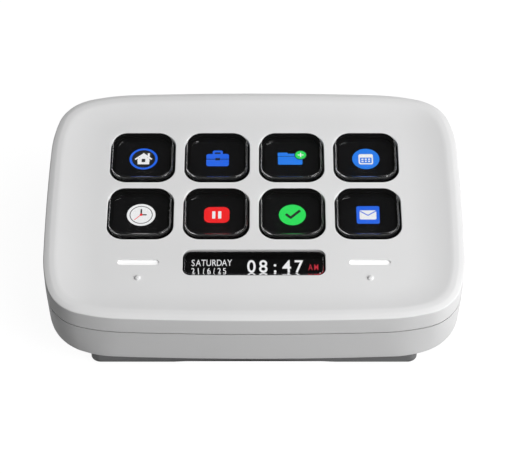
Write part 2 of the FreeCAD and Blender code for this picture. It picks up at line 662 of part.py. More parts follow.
def display_ribbon():
    """The flat cable: bonded under the glass ledge, turned round the plate and into its connector."""
    bend_y = TRAY_FRONT_Y
    bond_y = GLASS_FRONT_Y + RIBBON_BOND
    upper = GLASS_UNDER
    lower = BOARD_TOP + RIBBON_LEVEL
    outer = (upper - lower) / 2
    inner = outer - RIBBON_THICKNESS
    middle = (upper + lower) / 2
    under, over = upper - RIBBON_THICKNESS, lower + RIBBON_THICKNESS
    socket_y = CONNECTOR_Y - CONNECTOR_DEPTH / 2

    def at(y, z):
        return Vector(-RIBBON_WIDTH / 2, y, z)

    path = [
        (at(bond_y, upper), at(bend_y, upper)),
        (at(bend_y, upper), at(bend_y - outer, middle), at(bend_y, lower)),
        (at(bend_y, lower), at(socket_y, lower)),
        (at(socket_y, lower), at(socket_y, over)),
        (at(socket_y, over), at(bend_y, over)),
        (at(bend_y, over), at(bend_y - inner, middle), at(bend_y, under)),
        (at(bend_y, under), at(bond_y, under)),
        (at(bond_y, under), at(bond_y, upper)),
    ]
    edges = []
    for points in path:
        edges.append(Part.Arc(*points).toShape() if len(points) == 3 else Part.makeLine(*points))
    return Part.Face(Part.Wire(edges)).extrude(Vector(RIBBON_WIDTH, 0, 0))


# Main board and what is on it

def main_board():
    half = BOARD_WIDTH / 2
    board = box(-half, half, BOARD_FRONT_Y, BOARD_BACK_Y, BOARD_UNDER, BOARD_TOP)
    tab_end = PORT_MOUTH_Y - PORT_OVERHANG
    tab = box(-TAB_WIDTH / 2, TAB_WIDTH / 2, 0, tab_end, BOARD_UNDER, BOARD_TOP)
    bolts = holes(BOARD_SCREWS, SCREW_RADIUS + SCREW_CLEARANCE, BOARD_UNDER - 1, BOARD_TOP + 1)
    return cut_all(fuse_all([board, tab]), bolts)


def on_board(width, depth, height, x, y):
    half_x, half_y = width / 2, depth / 2
    return box(x - half_x, x + half_x, y - half_y, y + half_y, BOARD_TOP, BOARD_TOP + height)


def controller_chip():
    return on_board(*CONTROLLER)


def ribbon_connector():
    """A low connector that grips the ribbon's end in a slot along its front."""
    return on_board(CONNECTOR_WIDTH, CONNECTOR_DEPTH, CONNECTOR_HEIGHT, 0, CONNECTOR_Y)


def board_parts():
    """The memory chip, crystal, regulator, coil and a row of capacitors."""
    parts = [on_board(*part) for part in (MEMORY, CRYSTAL, REGULATOR, COIL)]
    width, depth, height, x, y = FIRST_CAPACITOR
    for number in range(CAPACITORS):
        parts.append(on_board(width, depth, height, x + number * CAPACITOR_STEP, y))
    return Part.makeCompound(parts)


def port_prism(grow, y_from, y_to):
    """The port's round-ended section, grown by grow, between two places along Y."""
    width = PORT_WIDTH + 2 * grow
    height = PORT_HEIGHT + 2 * grow
    shape = bar(width, height, height / 2, 0, y_to - y_from)
    shape.rotate(Vector(0, 0, 0), Vector(1, 0, 0), -90)
    shape.translate(Vector(0, y_from, BOARD_TOP + PORT_HEIGHT / 2))
    return shape


def usb_socket_shell():
    back = PORT_MOUTH_Y - PORT_LENGTH
    inside = port_prism(-PORT_WALL, back + PORT_WALL, PORT_MOUTH_Y + 1)
    return port_prism(0, back, PORT_MOUTH_Y).cut(inside)


def usb_socket_insert():
    """The insulator that fills the back of the socket, with the contact tongue in front of it."""
    back = PORT_MOUTH_Y - PORT_LENGTH + PORT_WALL
    front = back + INSERT_LENGTH
    base = port_prism(-PORT_WALL - INSERT_FIT, back, front)
    low = BOARD_TOP + (PORT_HEIGHT - TONGUE_THICKNESS) / 2
    high = low + TONGUE_THICKNESS
    tongue = box(-TONGUE_WIDTH / 2, TONGUE_WIDTH / 2, front - 1, front + TONGUE_LENGTH, low, high)
    return fuse_all([base, tongue])


# Stand and pad, whose lower faces lie in the desk's plane and not in the slab's

PAD_FRONT_Y = STAND_FRONT_Y + PAD_INSET
LEAN = Rotation(Vector(1, 0, 0), TILT)
DESK_DROP = -LEAN.multVec(Vector(0, PAD_FRONT_Y, UNDERSIDE - PAD_FRONT_DROP)).z


def above_desk(height_from, height_to=2 * SLAB_THICKNESS):
    """A thick level layer between two heights over the desk, in the slab's frame."""
    size = 3 * BODY_WIDTH
    level = box(-size / 2, size / 2, -size / 2, size / 2, height_from, height_to)
    level.Placement = Placement(Vector(0, 0, DESK_DROP), LEAN).inverse()
    return level


def footprint(inset, z_to=UNDERSIDE):
    """The stand's outline moved in by inset, from well under the desk up to z_to."""
    deep = UNDERSIDE - SLAB_THICKNESS
    radius = STAND_CORNER - min(inset, STAND_CORNER / 2)
    return bar(STAND_WIDTH - 2 * inset, STAND_DEPTH - 2 * inset, radius, deep, z_to, 0, STAND_Y)


def stand():
    """A wedge moulded as a shell, thin at the front and hollow towards the back."""
    deep = UNDERSIDE - SLAB_THICKNESS
    hollow = footprint(STAND_WALL, UNDERSIDE + 1).common(above_desk(PAD_THICKNESS + STAND_WALL))
    half = STAND_WALL / 2
    front, back = STAND_FRONT_Y + half, STAND_BACK_Y - half
    inside = bosses(CASE_SCREWS, STAND_BOSS_RADIUS, deep, UNDERSIDE)
    for x in (-STAND_WIDTH / 6, STAND_WIDTH / 6):
        inside.append(box(x - half, x + half, front, back, deep, UNDERSIDE))
    body = fuse_all([footprint(0).cut(hollow)] + inside).common(above_desk(PAD_THICKNESS))
    tools = holes(CASE_SCREWS, SCREW_RADIUS + SCREW_CLEARANCE, deep, UNDERSIDE + 1)
    tools += holes(CASE_SCREWS, SCREW_HEAD_RADIUS + HEAD_CLEARANCE, deep, CASE_SCREW_SEAT)
    return cut_all(body, tools)


def stand_pad():
    """The anti-slip rubber sheet that the keypad rests on."""
    return footprint(PAD_INSET).common(above_desk(0, PAD_THICKNESS))


# Assembly

def build_pieces():
    pieces = {
        "top_shell": upper_case(),
        "bottom_shell": lower_case(),
        "key_bezel": bezel(),
        "info_window": info_window(),
        "light_guide_left": light_guide(-1),
        "light_guide_right": light_guide(1),
        "dome_mat": dome_mat(),
        "switch_film": switch_film(),
        "display_glass": display_sheet(GLASS_FRONT_Y, GLASS_UNDER, GLASS_TOP),
        "display_backlight": display_sheet(ACTIVE_FRONT_Y, DISPLAY_UNDER, GLASS_UNDER),
        "display_ribbon": display_ribbon(),
        "support_plate": support_plate(),
        "main_board": main_board(),
        "controller_chip": controller_chip(),
        "ribbon_connector": ribbon_connector(),
        "board_parts": board_parts(),
        "usb_socket_shell": usb_socket_shell(),
        "usb_socket_insert": usb_socket_insert(),
        "board_screws": screws(BOARD_SCREWS, BOARD_UNDER, LEG_TOP + BOARD_SCREW_GRIP - BOARD_UNDER),
        "case_screws": screws(CASE_SCREWS, CASE_SCREW_SEAT, CASE_SCREW_LENGTH),
        "stand": stand(),
        "stand_pad": stand_pad(),
    }
    for number, (x, y) in enumerate(KEYS, start=1):
        pieces[f"key_lens_{number}"] = key_lens(x, y)
        pieces[f"key_carrier_{number}"] = key_carrier(x, y)
    return pieces


def lean_back(pieces):
    """Tilts every piece on to the desk, and puts the middle of the case over the origin."""
    lean = Placement(Vector(0, 0, DESK_DROP), LEAN).toMatrix()
    for shape in pieces.values():
        shape.transformShape(lean, True)
    boxes = [pieces[name].optimalBoundingBox(False) for name in ("top_shell", "bottom_shell")]
    middle = (min(b.YMin for b in boxes) + max(b.YMax for b in boxes)) / 2
    shift = Placement(Vector(0, -middle, 0), Rotation()).toMatrix()
    for shape in pieces.values():
        shape.transformShape(shift, True)
    return middle


def main():
    os.makedirs("parts", exist_ok=True)
    pieces = build_pieces()
    middle = lean_back(pieces)
    for name, shape in pieces.items():
        shape.exportStep(f"parts/{name}.step")
    print(f"{len(pieces)} nodes, slab {BODY_WIDTH:.2f} by {BODY_DEPTH:.2f} by {SLAB_THICKNESS:.2f} mm")
    print(f"leaned back {TILT} degrees, raised {DESK_DROP:.4f} mm, moved {-middle:.4f} mm along Y")


main()
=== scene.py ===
import math

import bmesh
import bpy
from mathutils import Matrix, Vector


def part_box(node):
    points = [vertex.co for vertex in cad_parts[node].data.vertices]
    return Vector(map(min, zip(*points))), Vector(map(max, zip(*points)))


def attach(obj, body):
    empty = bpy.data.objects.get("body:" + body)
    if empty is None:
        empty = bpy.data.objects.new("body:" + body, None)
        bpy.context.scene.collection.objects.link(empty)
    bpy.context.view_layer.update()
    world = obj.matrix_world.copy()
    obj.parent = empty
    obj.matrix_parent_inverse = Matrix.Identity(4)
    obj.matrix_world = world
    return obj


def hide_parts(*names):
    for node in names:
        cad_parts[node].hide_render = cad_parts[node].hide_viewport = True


# A desk keypad: eight clear keys over one lit screen, an info window and two touch bars in a bowed
# white case, leaned back on a low dark stand. Meshes are drawn in millimetres, as the case lies
# before it is leaned back: X right, Y up the face, Z out of it, and the face's rim at Z = 0.

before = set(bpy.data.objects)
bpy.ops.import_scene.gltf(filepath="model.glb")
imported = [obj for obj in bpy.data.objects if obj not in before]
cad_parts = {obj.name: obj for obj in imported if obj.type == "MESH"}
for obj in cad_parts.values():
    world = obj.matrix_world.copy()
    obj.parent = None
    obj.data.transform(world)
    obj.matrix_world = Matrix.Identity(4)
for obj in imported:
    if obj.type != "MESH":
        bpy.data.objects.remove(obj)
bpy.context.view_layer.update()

MM = 0.001
KEYS_Y = 6.241               # middle of the keys, from the middle of the case
LENS_MIDDLE_Z = -1.45        # half way up a clear key
KEY_NUMBERS = range(1, 9)


def middle(node):
    """The middle of a CAD node, in metres in the row frame."""
    low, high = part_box(node)
    return (low + high) / 2


keys = [middle(f"key_lens_{number}") for number in KEY_NUMBERS]
up_face = keys[0] - keys[4]
lean = math.atan2(up_face.z, up_face.y)
slab = Matrix.Translation(sum(keys, Vector()) / len(keys)) @ Matrix.Rotation(lean, 4, "X")
slab = slab @ Matrix.Diagonal((MM, MM, MM, 1)) @ Matrix.Translation((0, -KEYS_Y, -LENS_MIDDLE_Z))
KEY_PLACES = [(slab.inverted() @ key).to_2d() for key in keys]


# Camera. It looks at the keypad from straight in front, about 45 degrees above the desk. Its
# distance and its long lens put the keys and the outline where they were measured.

VIEW_ABOVE_FACE = math.radians(49.55)
VIEW_DISTANCE = 588.2
VIEW_CENTRE = Vector((1.50, -12.07, 0))
SENSOR = 36.0
PICTURE_WIDTH = 520          # pixels
FOCAL_LENGTH = 2321.1        # in the same pixels

camera = bpy.data.objects.new("camera", bpy.data.cameras.new("camera"))
back = Vector((0, -math.cos(VIEW_ABOVE_FACE), math.sin(VIEW_ABOVE_FACE))) * VIEW_DISTANCE
stood = slab @ (VIEW_CENTRE + back)
turn = Matrix.Rotation(lean + math.pi / 2 - VIEW_ABOVE_FACE, 4, "X")
camera.matrix_world = Matrix.Translation(stood) @ turn
camera.data.lens = SENSOR * FOCAL_LENGTH / PICTURE_WIDTH
camera.data.sensor_width = SENSOR
camera.data.clip_start = 0.01
camera.data.clip_end = 50
bpy.context.scene.collection.objects.link(camera)
bpy.context.scene.camera = camera


# Upper case. One white satin moulding: a bowed vertical wall, a rolled edge, a convex rim and a
# dish that falls 0.9 mm to the flat key field. The openings for keys, window and bars are cut
# through the field, with a small bead broken along each edge.

WHITE = (0.803, 0.803, 0.805)


class Value:
    """A socket's number or colour, so that shader maths reads as an expression."""

    def __init__(self, material, socket):
        self.material = material
        self.socket = socket

    def maths(self, operation, *terms):
        inputs = {place: term for place, term in enumerate(terms)}
        return self.material.node("Math", {"operation": operation}, inputs)

    def __add__(self, other):
        return self.maths("ADD", self, other)

    def __mul__(self, other):
        return self.maths("MULTIPLY", self, other)

    __radd__ = __add__


class Material:
    """A material whose nodes are made one by one."""

    def __init__(self, name):
        self.data = bpy.data.materials.new(name)
        self.data.use_nodes = True
        self.tree = self.data.node_tree
        self.tree.nodes.clear()

    def node(self, kind, settings=None, inputs=None, output=0):
        """Adds a node, gives it its settings, then its values or links, and returns one output."""
        made = self.tree.nodes.new("ShaderNode" + kind)
        for name, setting in (settings or {}).items():
            setattr(made, name, setting)
        for name, given in (inputs or {}).items():
            if isinstance(given, Value):
                self.tree.links.new(given.socket, made.inputs[name])
            else:
                made.inputs[name].default_value = given
        return Value(self, made.outputs[output]) if made.outputs else None

    def surface(self, shader):
        """Makes a shader the material's surface, and returns the finished material."""
        self.node("OutputMaterial", None, {"Surface": shader})
        return self.data

    def place(self, scale):
        """Object coordinates, in units of 1/scale metres."""
        spot = self.node("TexCoord", output="Object")
        return self.node("VectorMath", {"operation": "SCALE"}, {0: spot, "Scale": scale})

    def noise(self, scale, detail=2.0):
        """Soft random cells, scale of them to the metre."""
        return self.node("TexNoise", None, {"Vector": self.place(scale), "Scale": 1.0, "Detail": detail})

    def bump(self, height, strength, depth):
        return self.node("Bump", None, {"Height": height, "Strength": strength, "Distance": depth})

    def blend(self, share, colour_a, colour_b):
        """One colour fading into another. The mix node has colours at inputs 6 and 7 and output 2."""
        inputs = {0: share, 6: (*colour_a, 1), 7: (*colour_b, 1)}
        return self.node("Mix", {"data_type": "RGBA"}, inputs, output=2)


def moulded(name, colour, roughness, grain, grain_depth=2e-6, shift=0.04, shine=0.5):
    """Injection-moulded plastic with a spark-eroded grain, grain being its cells per metre."""
    made = Material(name)
    cells = made.noise(grain, 3.0)
    cloud = made.noise(60.0)
    darker = [channel * (1 - shift) for channel in colour]
    return made.surface(made.node("BsdfPrincipled", None, {
        "Base Color": made.blend(cloud, darker, colour),
        "Roughness": roughness - 0.05 + cells * 0.1,
        "IOR": 1.46,
        "Specular IOR Level": shine,
        "Normal": made.bump(cells, 0.5, grain_depth),
    }))


def shown(bm, name):
    """Turns a bmesh into an object of the scene."""
    mesh = bpy.data.meshes.new(name)
    bm.to_mesh(mesh)
    bm.free()
    made = bpy.data.objects.new(name, mesh)
    bpy.context.scene.collection.objects.link(made)
    return made


def shade(mesh, sharp_over):
    """Smooth shading, broken at edges that turn by more than an angle in degrees."""
    mesh.shade_smooth()
    mesh.set_sharp_from_angle(angle=math.radians(sharp_over))


def settle(bm, name, material, body="case", sharp_over=30.0):
    """Turns a finished bmesh, drawn in millimetres, into a piece in its place on the keypad."""
    bmesh.ops.transform(bm, matrix=slab, verts=bm.verts)
    bmesh.ops.recalc_face_normals(bm, faces=bm.faces)
    piece = shown(bm, name)
    shade(piece.data, sharp_over)
    piece.data.materials.append(material)
    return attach(piece, body)


HALF_WIDTH, HALF_DEPTH = 53.345, 38.85
LONG_SIDE_BOW, SHORT_SIDE_BOW = 1.7, 1.05        # how far the sides bulge at their middles
CORNER = (20.8, 46.0, math.radians(14))         # reach, first radius, and turn of a corner's ends
FOOT_CORNER = (17.4, 24.0, math.radians(20))
STEPS = {"long": 24, "short": 18, "flank": 6, "knuckle": 16}
SAME = 1e-6                  # heights closer than this are one height
HAIR = 1e-3                  # keeps a bevel, or a face's level, clear of its limit


def arc_step(radius, start, end):
    """Where a clockwise arc ends, when its heading goes from start to end."""
    return Vector((math.sin(start) - math.sin(end), math.cos(end) - math.cos(start))) * radius


def outline(bm, half_x, half_y, corner, z):
    """Walks one vertex clockwise round the bowed rectangle, arc by arc. Returns its edges and z."""
    reach, flank, turned = corner
    corner_x, corner_y = half_x - reach, half_y - reach
    long_radius = (HALF_WIDTH**2 + LONG_SIDE_BOW**2) / (2 * LONG_SIDE_BOW)
    short_radius = (HALF_DEPTH**2 + SHORT_SIDE_BOW**2) / (2 * SHORT_SIDE_BOW)
    long_half = math.asin(corner_x / long_radius)
    short_half = math.asin(corner_y / short_radius)
    start = Vector((corner_x, half_y - long_radius * (1 - math.cos(long_half))))
    end = Vector((half_x - short_radius * (1 - math.cos(short_half)), corner_y))

    square = math.pi / 2
    headings = [-long_half, -long_half - turned, short_half + turned - square, short_half - square]
    rest = end - start - arc_step(flank, *headings[:2])
    second = arc_step(1, *headings[1:3])
    third = arc_step(1, *headings[2:])
    scale = second.cross(third)
    knuckle = rest.cross(third) / scale
    heel = second.cross(rest) / scale
    bend = headings[1] - headings[2]

    bent = [
        (flank, turned, STEPS["flank"]),
        (knuckle, bend, STEPS["knuckle"]),
        (heel, turned, STEPS["flank"]),
    ]
    long_side = (long_radius, 2 * long_half, STEPS["long"])
    short_side = (short_radius, 2 * short_half, STEPS["short"])
    path = 2 * [long_side, *bent, short_side, *reversed(bent)]

    vert = bm.verts.new((-corner_x, start.y, 0))
    walked = [vert]
    heading = long_half
    for radius, angle, steps in path:
        centre = vert.co + Vector((math.sin(heading), -math.cos(heading), 0)) * radius
        spun = bmesh.ops.spin(
            bm, geom=[vert], cent=centre, axis=(0, 0, 1), dvec=(0, 0, 0), angle=-angle, steps=steps,
        )
        vert = next(item for item in spun["geom_last"] if isinstance(item, bmesh.types.BMVert))
        walked.append(vert)
        heading -= angle
    bmesh.ops.pointmerge(bm, verts=[walked[0], vert], merge_co=walked[0].co)
    edges, ahead = set(), [edge for edge in walked[1].link_edges]
    while ahead:
        edge = ahead.pop()
        if edge not in edges:
            edges.add(edge)
            ahead += [more for end in edge.verts for more in end.link_edges]
    return list(edges), z


def parallel(bm, inset, z):
    """The case's own outline, moved straight in by inset."""
    reach, flank, turned = CORNER
    corner = (reach - inset, flank - inset, turned)
    return outline(bm, HALF_WIDTH - inset, HALF_DEPTH - inset, corner, z)


def raise_to(ring, z):
    for vert in {vert for edge in ring for vert in edge.verts}:
        vert.co.z = z


def skin(bm, rings):
    """Joins ring to ring, spread one over another while it does, and closes the first and last."""
    for place, (ring, z) in enumerate(rings):
        raise_to(ring, place)
    for (lower, _), (upper, _) in zip(rings, rings[1:]):
        bmesh.ops.bridge_loops(bm, edges=lower + upper)
    for ring, z in rings:
        raise_to(ring, z)
    for ring, z in (rings[0], rings[-1]):
        bmesh.ops.contextual_create(bm, geom=ring)


def block(bm, width, height, radius, z_from, z_to, x=0.0, y=0.0, segments=10):
    """A rounded bar, standing on z_from. Returns its vertices."""
    made = bmesh.ops.create_cube(bm, size=1)["verts"]
    bmesh.ops.scale(bm, vec=(width, height, z_to - z_from), verts=made)
    bmesh.ops.translate(bm, vec=(x, y, (z_from + z_to) / 2), verts=made)
    upright = {e for v in made for e in v.link_edges if abs(e.verts[0].co.z - e.verts[1].co.z) > SAME}
    rounded = bmesh.ops.bevel(
        bm, geom=list(upright), offset=min(radius, width / 2 - HAIR, height / 2 - HAIR),
        offset_type="OFFSET", affect="EDGES", segments=segments, profile=0.5, material=-1,
        clamp_overlap=False,
    )
    faces = {face for vert in rounded["verts"] for face in vert.link_faces}
    return list({vert for face in faces for vert in face.verts})


def flare(bm, verts, grow, rise):
    """Continues a bar upwards, wider by grow on every side at its new top."""
    bar = set(verts)
    top = max(vert.co.z for vert in bar)
    cap = next(f for f in bm.faces if all(v in bar and abs(v.co.z - top) < SAME for v in f.verts))
    centre = cap.calc_center_median()
    low = Vector((min(v.co.x for v in cap.verts), min(v.co.y for v in cap.verts)))
    grown = bmesh.ops.extrude_discrete_faces(bm, faces=[cap])["faces"][0]
    width, height = 2 * (centre.x - low.x), 2 * (centre.y - low.y)
    bmesh.ops.scale(
        bm, vec=(1 + 2 * grow / width, 1 + 2 * grow / height, 1), verts=grown.verts,
        space=Matrix.Translation(-centre),
    )
    bmesh.ops.translate(bm, vec=(0, 0, rise), verts=grown.verts)


def finished(piece):
    """A piece's mesh with its modifiers applied, or a text's letters as a mesh."""
    bpy.context.view_layer.update()
    graph = bpy.context.evaluated_depsgraph_get()
    return bpy.data.meshes.new_from_object(piece.evaluated_get(graph))


def cut_out(piece, bm):
    """Cuts the shapes drawn in a bmesh out of a piece."""
    bmesh.ops.transform(bm, matrix=slab, verts=bm.verts)
    bmesh.ops.recalc_face_normals(bm, faces=bm.faces)
    cutter = shown(bm, "cutter")
    cut = piece.modifiers.new("openings", "BOOLEAN")
    cut.operation = "DIFFERENCE"
    cut.solver = "MANIFOLD"
    cut.object = cutter
    done = finished(piece)
    piece.modifiers.clear()
    piece.data = done
    bpy.data.objects.remove(cutter)
    shade(done, 30)


FIELD = -0.9                 # the flat key field
FACE_UNDER = -1.8            # the face's inner side
SKIRT = -5.65                # lower edge of the upper case
CASE_WALL = 2.0
CREST = 2.6                  # the rim's highest line, in from the wall
RIM_LAND = 0.3               # level strip between the crest and the dish
COVE_SIDE, COVE_END = 10.4, 7.4                # width of the dish's rise
COVE_STEPS = 14
BAND_DROP = 0.33             # how far the rim's edge slopes down to its roll
BAND_START = ((1.75, 0.02), (1.5, 0.08), (1.25, 0.22))     # in from the wall, share of the drop
ROLL = 0.34
ROLL_START = math.radians(17)
ROLL_STEPS = 7
KEY_OPENING, KEY_OPENING_RADIUS = 17.06, 4.5
INFO_WIDTH, INFO_HEIGHT, INFO_RADIUS, INFO_Y = 36.0, 8.4, 2.1, -19.65
BAR_LENGTH, BAR_HEIGHT, BAR_X = 10.4, 1.65, 29.145
EDGE_BREAK = 0.12
PIERCE = 1.0                 # how far a cutter reaches past what it cuts

bm = bmesh.new()
reach, flank, turned = CORNER
rings = []
for step in range(COVE_STEPS + 1):
    share = step / COVE_STEPS
    in_x = CREST + RIM_LAND + COVE_SIDE * (1 - share)
    in_y = CREST + RIM_LAND + COVE_END * (1 - share)
    left = reach - (in_x + in_y) / 2
    corner = (left, flank * left / reach, turned)
    z = FIELD - FIELD * share**2
    rings.append(outline(bm, HALF_WIDTH - in_x, HALF_DEPTH - in_y, corner, z))
roll_centre = -BAND_DROP - ROLL * math.cos(ROLL_START)
profile = [(CREST, 0)]
profile += [(inset, -BAND_DROP * share) for inset, share in BAND_START]
profile.append((ROLL * (1 - math.sin(ROLL_START)), -BAND_DROP))
for step in range(1, ROLL_STEPS + 1):
    angle = ROLL_START + (math.pi / 2 - ROLL_START) * step / ROLL_STEPS
    profile.append((ROLL * (1 - math.sin(angle)), roll_centre + ROLL * math.cos(angle)))
profile += [(0, SKIRT), (CASE_WALL, SKIRT), (CASE_WALL, FACE_UNDER)]
rings += [parallel(bm, inset, z) for inset, z in profile]
skin(bm, rings)
shell_white = moulded("shell_white", WHITE, 0.55, 2600.0, shine=0.12)
upper_case = settle(bm, "upper_case", shell_white)

openings = [(KEY_OPENING, KEY_OPENING, KEY_OPENING_RADIUS, x, y, EDGE_BREAK) for x, y in KEY_PLACES]
openings.append((INFO_WIDTH, INFO_HEIGHT, INFO_RADIUS, 0, INFO_Y, EDGE_BREAK / 2))
for x in (-BAR_X, BAR_X):
    openings.append((BAR_LENGTH, BAR_HEIGHT, BAR_HEIGHT / 2, x, INFO_Y, EDGE_BREAK / 2))
bm = bmesh.new()
for width, height, radius, x, y, bead in openings:
    hole = block(bm, width, height, radius, FACE_UNDER - PIERCE, FIELD - bead, x, y)
    flare(bm, hole, 2 * bead, 2 * bead)
cut_out(upper_case, bm)
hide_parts("top_shell")


# Pips under the touch bars. They are low domes moulded with the upper case, so that a finger finds
# the bars.

PIP_RADIUS, PIP_HEIGHT, PIP_Y = 0.8, 0.5, -24.75

bm = bmesh.new()
for x in (-BAR_X, BAR_X):
    dome = bmesh.ops.create_uvsphere(bm, u_segments=32, v_segments=16, radius=PIP_RADIUS)["verts"]
    bmesh.ops.scale(bm, vec=(1, 1, PIP_HEIGHT / PIP_RADIUS), verts=dome)
    bmesh.ops.translate(bm, vec=(x, PIP_Y, FIELD), verts=dome)
pips = settle(bm, "touch_pips", shell_white)


# Lower case. A tray in the same white plastic, with drafted walls that curve in at the underside's
# corners, a lip that locates the upper case, and the cut-out for the inlet in its back wall.

CASE_TOP = -5.95             # upper edge of the lower case's wall
UNDERSIDE = -16.6
CASE_FLOOR = -14.6           # the underside's inner side
PARTING_GROOVE = 0.35        # the joint's shadow line, cut back below the upper case
LIP_TOP, LIP_INSET = -4.35, 1.1
DRAFT, FOOT_ROUND = 0.6, 0.15
FOOT_STEPS, WALL_STEPS = 4, 8
PORT_WIDTH, PORT_HEIGHT, PORT_Z = 9.6, 3.82, -8.12
PORT_REACH, PORT_INSET = 4.0, 1.0              # half the cutter's length, and its middle's place

bm = bmesh.new()
rings = []
for step in range(FOOT_STEPS + 1):
    angle = math.pi / 2 * step / FOOT_STEPS
    inset = DRAFT + FOOT_ROUND * (1 - math.sin(angle))
    z = UNDERSIDE + FOOT_ROUND * (1 - math.cos(angle))
    rings.append(outline(bm, HALF_WIDTH - inset, HALF_DEPTH - inset, FOOT_CORNER, z))
for step in range(1, WALL_STEPS + 1):
    share = step / WALL_STEPS
    corner = [a + (b - a) * share for a, b in zip(FOOT_CORNER, CORNER)]
    inset = DRAFT * (1 - share)
    z = UNDERSIDE + FOOT_ROUND + (CASE_TOP - UNDERSIDE - FOOT_ROUND) * share
    rings.append(outline(bm, HALF_WIDTH - inset, HALF_DEPTH - inset, corner, z))
groove = CASE_TOP - PARTING_GROOVE
profile = [
    (PARTING_GROOVE, groove),
    (LIP_INSET, groove),
    (LIP_INSET, LIP_TOP),
    (CASE_WALL, LIP_TOP),
    (CASE_WALL + DRAFT, CASE_FLOOR),
]
rings += [parallel(bm, inset, z) for inset, z in profile]
skin(bm, rings)
lower_case = settle(bm, "lower_case", shell_white)

bm = bmesh.new()
block(bm, PORT_WIDTH, PORT_HEIGHT, PORT_HEIGHT / 2, -PORT_REACH, PORT_REACH)
bmesh.ops.rotate(bm, matrix=Matrix.Rotation(math.pi / 2, 3, "X"), verts=bm.verts)
bmesh.ops.translate(bm, vec=(0, HALF_DEPTH - PORT_INSET, PORT_Z), verts=bm.verts)
cut_out(lower_case, bm)
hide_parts("bottom_shell")


# Clear keys. Each is a polished acrylic block: a square head with a softened top edge, and a foot
# that drops through its black carrier to just over the screen. Its walls are masked in black below
# the face, so that only the screen shows through it. The mask's near-perfect black also paints the
# shade of the gap round each key, since the keys are set to cast no shadow.

LENS_SIZE, LENS_RADIUS, LENS_FOOT = 15.86, 3.9, 14.6       # the head, its corners, and the foot
LENS_TOP, LENS_SEAT, LENS_UNDER = 0.4, -2.34, -3.3         # heights of top, step and foot
TOP_ROUND = 0.6
MASK_TOP = FIELD - 0.15      # the mask starts a little below the face
HEM = 0.5                    # the mask's strip round the foot's underside
WALL_MASK, EDGE = 1, 2       # material slots on a block, after the clear one


def acrylic(name, tint, roughness):
    """Clear moulded acrylic, polished, with a trace of flow marks in it."""
    made = Material(name)
    flow = made.noise(120.0)
    return made.surface(made.node("BsdfPrincipled", None, {
        "Base Color": (*tint, 1),
        "Roughness": roughness + flow * 0.02,
        "IOR": 1.49,
        "Transmission Weight": 1.0,
    }))


def soften_top(bm, top, radius, segments):
    """Rounds the edges round a bar's top."""
    brow = [e for e in bm.edges if all(abs(v.co.z - top) < SAME for v in e.verts)]
    bmesh.ops.bevel(
        bm, geom=brow, offset=radius, offset_type="OFFSET", affect="EDGES", segments=segments,
        profile=0.5, material=-1, clamp_overlap=False,
    )


def part_at(bm, z):
    """Parts every face that crosses a height in two there."""
    everything = bm.verts[:] + bm.edges[:] + bm.faces[:]
    bmesh.ops.bisect_plane(bm, geom=everything, plane_co=(0, 0, z), plane_no=(0, 0, 1))


CLEAR = (0.97, 0.975, 0.98)
clear = acrylic("clear_acrylic", CLEAR, 0.0)
edge_clear = acrylic("edge_acrylic", CLEAR, 0.12)
# Near-perfect black: partly a real mask on the key and window walls, partly painted shade for the gaps
# round them.
mask_black_and_shade = moulded("mask_black_and_shade", (0.001, 0.001, 0.001), 0.8, 3000.0, shine=0.05)
for number, (x, y) in enumerate(KEY_PLACES, start=1):
    bm = bmesh.new()
    block(bm, LENS_SIZE, LENS_SIZE, LENS_RADIUS, LENS_SEAT, LENS_TOP, x, y, segments=12)
    bm.faces.ensure_lookup_table()
    seat = min(bm.faces, key=lambda face: face.calc_center_median().z)
    step_in = (LENS_SIZE - LENS_FOOT) / 2
    bmesh.ops.inset_region(bm, faces=[seat], thickness=step_in, use_even_offset=True)
    foot = bmesh.ops.extrude_discrete_faces(bm, faces=[seat])["faces"][0]
    bmesh.ops.translate(bm, vec=(0, 0, LENS_UNDER - LENS_SEAT), verts=foot.verts)
    hem = bmesh.ops.inset_region(bm, faces=[foot], thickness=HEM, use_even_offset=True)["faces"]
    for face in hem:
        face.material_index = WALL_MASK
    soften_top(bm, LENS_TOP, TOP_ROUND, segments=5)
    part_at(bm, MASK_TOP)
    for face in bm.faces:
        level = face.calc_center_median().z
        if LENS_UNDER + HAIR < level < MASK_TOP:
            face.material_index = WALL_MASK
        elif LENS_TOP - TOP_ROUND < level < LENS_TOP - HAIR:
            face.material_index = EDGE
    key = settle(bm, f"clear_key_{number}", clear, f"key_{number}", 40)
    key.data.materials.append(mask_black_and_shade)
    key.data.materials.append(edge_clear)
    key.visible_shadow = False
    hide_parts(f"key_lens_{number}")


# Carriers and bezel. Black moulded frames: one round each key's foot, and one under the whole face.
# They show as a dark well round a key.

def paint(material, *nodes):
    """Gives CAD nodes a material."""
    for node in nodes:
        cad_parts[node].data.materials.clear()
        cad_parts[node].data.materials.append(material)


frame_black = moulded("frame_black", (0.004, 0.004, 0.0045), 0.5, 3200.0, shine=0.25)
paint(frame_black, "key_bezel", *[f"key_carrier_{number}" for number in KEY_NUMBERS])


# Info window. A flanged block of dark polished plastic over the front of the screen, masked in
# black round its walls like the keys; that black is partly painted shade as well.

WINDOW_STEP = 0.5            # from its opening, the black ledge included
WINDOW_SINK = 0.15           # how far its top lies below the face
WINDOW_TOP, WINDOW_UNDER = FIELD - WINDOW_SINK, -4.0
WINDOW_ROUND = TOP_ROUND / 2
FLANGE_TOP, FLANGE_UNDER, FLANGE = -2.3, -3.6, 0.9

